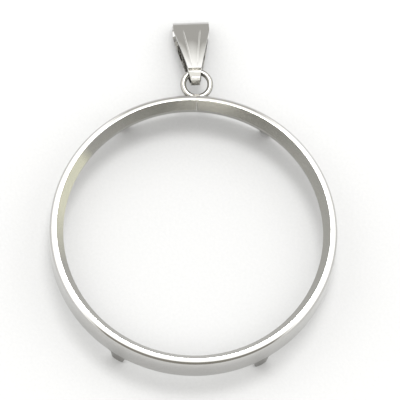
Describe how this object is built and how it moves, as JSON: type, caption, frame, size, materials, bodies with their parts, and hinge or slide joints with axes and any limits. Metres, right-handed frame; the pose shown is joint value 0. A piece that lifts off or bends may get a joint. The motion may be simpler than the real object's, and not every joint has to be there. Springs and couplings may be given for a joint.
{
  "type": "coin bezel pendant frame",
  "caption": "Round silver bezel frame that holds a coin behind a bevelled lip with bend-over prongs, with a jump ring and a folded, fluted bail for a chain.",
  "frame": {"origin": "centre of the plane that the coin's front face rests on, behind the lip", "axes": "+Z along the ring's axis towards the front face, +Y towards the jump ring and bail, +X to the right seen from the front"},
  "size_m": [0.0392, 0.0516, 0.0066],
  "materials": {
    "polished_silver": "polished sterling silver",
    "silver_wire": "polished sterling silver wire",
    "bail_silver": "polished sterling silver sheet with pressed flutes",
    "silver_solder": "silver solder, polished over"
  },
  "bodies": {
    "frame": {"bezel_band": "polished_silver", "band_seam_solder": "silver_solder", "jump_ring": "silver_wire", "jump_ring_seam_solder": "silver_solder", "ring_to_band_solder": "silver_solder"},
    "bail": {"bail": "bail_silver", "bail_lap_solder": "silver_solder"},
    "upper_left_prong": {"prong_upper_left": "polished_silver"},
    "upper_right_prong": {"prong_upper_right": "polished_silver"},
    "lower_right_prong": {"prong_lower_right": "polished_silver"},
    "lower_left_prong": {"prong_lower_left": "polished_silver"}
  },
  "joints": [
    {"name": "bail_swing", "type": "hinge", "parent": "frame", "child": "bail", "pos_m": [-0.00033, 0.02344, -0.0001], "axis": [0.9969, 0.0785, 0], "range_deg": [-98, 145]},
    {"name": "upper_left_fold", "type": "hinge", "parent": "frame", "child": "upper_left_prong", "pos_m": [-0.00969, 0.01678, -0.00276], "axis": [-0.866, -0.5, 0], "range_deg": [0, 90]},
    {"name": "upper_right_fold", "type": "hinge", "parent": "frame", "child": "upper_right_prong", "pos_m": [0.00969, 0.01678, -0.00276], "axis": [-0.866, 0.5, 0], "range_deg": [0, 90]},
    {"name": "lower_right_fold", "type": "hinge", "parent": "frame", "child": "lower_right_prong", "pos_m": [0.00969, -0.01678, -0.00276], "axis": [0.866, 0.5, 0], "range_deg": [0, 90]},
    {"name": "lower_left_fold", "type": "hinge", "parent": "frame", "child": "lower_left_prong", "pos_m": [-0.00969, -0.01678, -0.00276], "axis": [0.866, -0.5, 0], "range_deg": [0, 90]}
  ]
}
